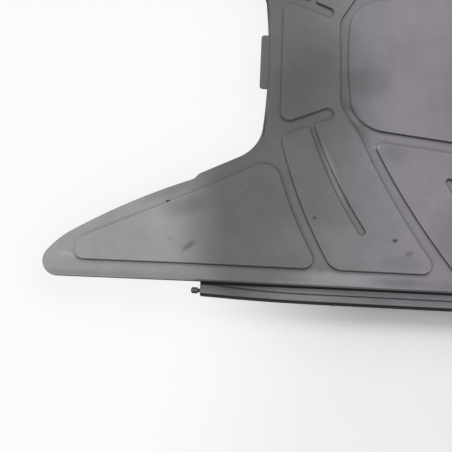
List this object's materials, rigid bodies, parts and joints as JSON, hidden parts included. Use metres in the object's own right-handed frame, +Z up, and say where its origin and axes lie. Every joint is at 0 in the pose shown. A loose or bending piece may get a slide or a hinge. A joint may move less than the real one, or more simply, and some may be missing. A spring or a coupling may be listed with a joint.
{
  "type": "scooter floorboard",
  "caption": "Moulded plastic scooter floorboard with raised tread pads, swept rear wings around an open bay, stepped side ledges with locating pegs, and ribs and screw posts underneath.",
  "frame": {"origin": "bottom centre of the bounding box, on the plane of the screw posts' ends", "axes": "+X along the scooter towards its front, +Y across it, +Z up out of the tread"},
  "size_m": [0.4826, 0.402, 0.0188],
  "materials": {
    "floorboard": "black polypropylene, faded and dusty from use, fine moulded grain"
  },
  "bodies": {
    "root": {"floorboard": "floorboard"}
  },
  "joints": []
}
